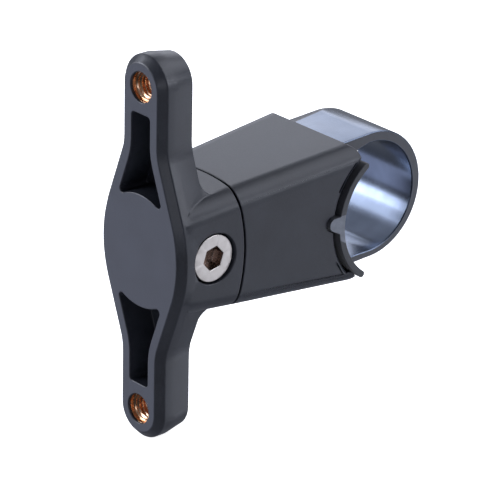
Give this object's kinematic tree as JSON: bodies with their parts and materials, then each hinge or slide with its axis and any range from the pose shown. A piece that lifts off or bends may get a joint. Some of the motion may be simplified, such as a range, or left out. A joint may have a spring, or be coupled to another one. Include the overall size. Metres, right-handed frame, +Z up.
{
  "type": "bottle cage mount",
  "caption": "Bicycle bottle cage mount: an upright plate with threaded inserts on a short swivelling arm, held on a round tube by a drawn strap and a rubber saddle.",
  "frame": {"origin": "on the axis of the clamped tube, at the middle of the part's width", "axes": "+X along the tube, +Y from the cage plate towards the tube, +Z up along the cage plate"},
  "size_m": [0.0274, 0.0633, 0.0759],
  "materials": {
    "bracket_plastic": "satin black glass-filled nylon",
    "strap_plastic": "glossy dark grey plastic",
    "pad_rubber": "matte",
    "insert_brass": "bright",
    "screw_steel": "stainless steel",
    "pin_aluminium": "turned",
    "yoke_aluminium": "anodised grey"
  },
  "bodies": {
    "clamp": {"clamp_body": "bracket_plastic", "swivel_pin": "pin_aluminium", "saddle_pad": "pad_rubber", "tension_washer": "screw_steel"},
    "bracket": {"cage_bracket": "bracket_plastic", "upper_insert": "insert_brass", "lower_insert": "insert_brass", "lock_insert": "insert_brass"},
    "lock_screw": {"lock_screw": "screw_steel"},
    "tension_screw": {"tension_screw": "screw_steel"},
    "strap_yoke": {"strap": "strap_plastic", "yoke": "yoke_aluminium", "yoke_nut": "screw_steel", "upper_hook_pin": "screw_steel", "lower_hook_pin": "screw_steel"}
  },
  "joints": [
    {"name": "bracket_swivel", "type": "hinge", "parent": "clamp", "child": "bracket", "pos_m": [0, -0.0503, -0.00015], "axis": [0, 1, 0], "continuous": true},
    {"name": "lock_turn", "type": "hinge", "parent": "bracket", "child": "lock_screw", "pos_m": [0.0115, -0.042, -0.00015], "axis": [1, 0, 0], "range_deg": [0, 180]},
    {"name": "tension_turn", "type": "hinge", "parent": "clamp", "child": "tension_screw", "pos_m": [0, -0.0389, -0.00015], "axis": [0, 1, 0], "range_deg": [-1081, 361]},
    {"name": "strap_draw", "type": "slide", "parent": "clamp", "child": "strap_yoke", "axis": [0, 1, 0], "range_m": [-0.0008, 0.0024]}
  ],
  "couplings": [
    {"joint": "tension_turn", "follows": "strap_draw", "rad_per_m": -7854}
  ]
}
